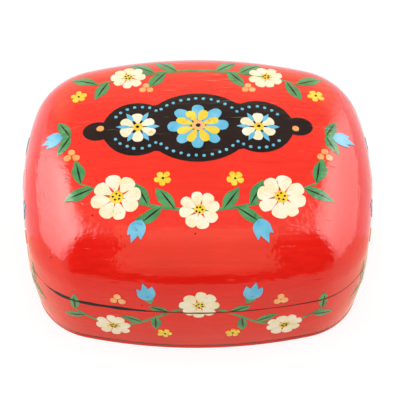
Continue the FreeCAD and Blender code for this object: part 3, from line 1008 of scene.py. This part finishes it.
for side, half in VINES.items():
    wave = half / VINE_WAVES
    shares = [VINE_WAVES * step / VINE_KNOTS for step in range(-VINE_KNOTS, VINE_KNOTS + 1)]
    stem(side, [(share * wave, vine_height(share)) for share in shares], VINE_STEM)
    flower(side, 0, vine_height(0) + FLOWER_LIFT, size=17)
    for side_sign in (-1, 1):
        flower(side, side_sign * wave / 2, vine_height(0.5) - FLOWER_LIFT, size=15)
        for share, out in VINE_LEAVES:
            slope = -VINE_SWING * 2 * math.pi / wave * math.sin(2 * math.pi * share)
            turn = math.degrees(math.atan(slope)) + VINE_LEAF_ANGLE * out
            turn = turn if side_sign > 0 else 180 - turn
            leaf(side, side_sign * share * wave, vine_height(share), VINE_LEAF, turn)
        bud(side, side_sign * wave * BUD_SHARE, BUD_HEIGHT, 90 - BUD_LEAN * side_sign)
        blossom(side, side_sign * wave * BLOSSOM_SHARE, BLOSSOM_HEIGHT, size=6)
        berries(side, side_sign * wave * BERRY_SHARE, BERRY_HEIGHT)
print("marks in all:", mark_count())

# %% [markdown]
# ## Paint on the curved box
# Each colour is one coat. Its marks are joined into a flat film, held off its side like a transfer, cut
# where the lid meets the tub, and projected straight onto the shell with Shrinkwrap. Solidify gives the
# film a body that reaches into the shell, so it is closed and no gap shows. Later coats lie a little
# higher than earlier ones.

# %% Films of paint
COATS = ["black", "green", "vein", "cream", "blue", "yellow", "peach", "seed"]
COAT_STEP, FIRST_COAT, FILM = 0.05 * mm, 0.07 * mm, 0.6 * mm
RIM, HOLD_OFF = 0.6 * mm, 100 * mm
# For each side, the directions of its own X and Y, and the way it faces
SIDES = {
    "top": ((1, 0, 0), (0, 1, 0), (0, 0, 1)),
    "front": ((1, 0, 0), (0, 0, 1), (0, -1, 0)),
    "back": ((-1, 0, 0), (0, 0, 1), (0, 1, 0)),
    "left": ((0, -1, 0), (0, 0, 1), (-1, 0, 0)),
    "right": ((0, 1, 0), (0, 0, 1), (1, 0, 0)),
}


def joined(pieces):
    """Joins pieces into one and returns it."""
    select_only(*pieces)
    if len(pieces) > 1:
        bpy.ops.object.join()
    return bpy.context.object


def laid_film(flat, side, colour, body):
    """Lays a copy of a flat film on the lid or the tub, and returns it if any of it lies there."""
    film = bpy.data.objects.new("film", flat.data.copy())
    scene.collection.objects.link(film)
    select_only(film)
    above = body == "lid"
    if side != "top":
        cut = SEAM + RIM if above else SEAM - RIM
        dropped = {"clear_inner": above, "clear_outer": not above}
        edited(bpy.ops.mesh.bisect, plane_co=(0, cut, 0), plane_no=(0, 1, 0), **dropped)
    if not film.data.polygons:
        bpy.data.objects.remove(film)
        return None
    axes = Matrix([Vector(axis) for axis in SIDES[side]]).transposed().to_4x4()
    film.data.transform(axes @ Matrix.Translation((0, 0, HOLD_OFF)))
    outward = Vector(SIDES[side][2])
    along = "xyz"[max(range(3), key=lambda axis: abs(outward[axis]))]
    apply_modifier(
        film,
        "SHRINKWRAP",
        {
            "target": nodes[f"{body}_shell"],
            "wrap_method": "PROJECT",
            "wrap_mode": "ABOVE_SURFACE",
            f"use_project_{along}": True,
            "use_positive_direction": sum(outward) < 0,
            "use_negative_direction": sum(outward) > 0,
            "offset": FIRST_COAT + COAT_STEP * COATS.index(colour),
        },
    )
    apply_modifier(film, "SOLIDIFY", {"thickness": FILM, "offset": -1})
    return film


films = {(body, colour): [] for body in ("lid", "base") for colour in COATS}
for colour in COATS:
    for side in SIDES:
        if (side, colour) not in drawn:
            continue
        flat = joined(drawn[side, colour])
        for body in ("lid", "base") if side != "top" else ("lid",):
            film = laid_film(flat, side, colour, body)
            if film:
                films[body, colour].append(film)
        bpy.data.objects.remove(flat)
print("films:", {" ".join(key): len(value) for key, value in films.items()})

# %% [markdown]
# ## The paints
# Poster paint is opaque and chalky before it is lacquered. Each colour is mottled between a dull tone and
# a bright one, and where the bristles left it thin, the red ground shows through. The lacquer over it is
# the same as over the red, so the paints go through the same function.

# %% Paint colours
BRISTLE_SIZE, MOTTLE_SIZE = 1.6 * mm, 6 * mm
MOTTLE_FROM, MOTTLE_TO = 0.3, 0.7
WORN_FROM, WORN_TO = 0.62, 0.8
RED_BELOW = "#ef3a26"
# Dull tone, bright tone, and how much of the red shows where the paint is thinnest
PAINTS = {
    "black": ("#1a1211", "#271c1a", 0),
    "green": ("#3f8650", "#5aa767", 0.4),
    "cream": ("#fbe9b8", "#fff8e2", 0.48),
    "blue": ("#57b6da", "#7dcbe6", 0.32),
    "yellow": ("#f6c92c", "#ffe252", 0.88),
    "peach": ("#f7a155", "#ffc585", 0.48),
    "vein": ("#241a18", "#382b28", 0),
    "seed": ("#241a18", "#382b28", 0),
}
for colour, (dull, bright, showing) in PAINTS.items():
    # Poster paint under lacquer: opaque and flat in colour, streaked by the brush and thin in places
    material, tree, surface = new_material(f"{colour}_poster_paint")
    place = add(tree, "TexCoord").outputs["Object"]
    bristle = add(tree, "TexNoise", inputs={"Vector": place, "Scale": 1 / BRISTLE_SIZE, "Detail": 3})
    mottle = add(tree, "TexNoise", inputs={"Vector": place, "Scale": 1 / MOTTLE_SIZE, "Detail": 2})
    mottled = {"Value": mottle, "From Min": MOTTLE_FROM, "From Max": MOTTLE_TO}
    tone = add(tree, "MapRange", inputs=mottled)
    coat = add(tree, "Mix", COLOURS, {0: tone, 6: linear(dull), 7: linear(bright)})
    thinned = {"Value": bristle, "From Min": WORN_FROM, "From Max": WORN_TO, "To Max": showing}
    worn = add(tree, "MapRange", inputs=thinned)
    coat = add(tree, "Mix", COLOURS, {0: worn, 6: coat, 7: linear(RED_BELOW)})
    tree.links.new(clear_lacquer(tree, coat).outputs[0], surface)
    for body in ("lid", "base"):
        if not films[body, colour]:
            continue
        film = joined(films[body, colour])
        film.name = f"{body}_paint_{colour}"
        give(film, material)
        bpy.ops.object.shade_smooth_by_angle(angle=SMOOTH_ANGLE)
        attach(film, body)
        print(film.name, "faces:", len(film.data.polygons))
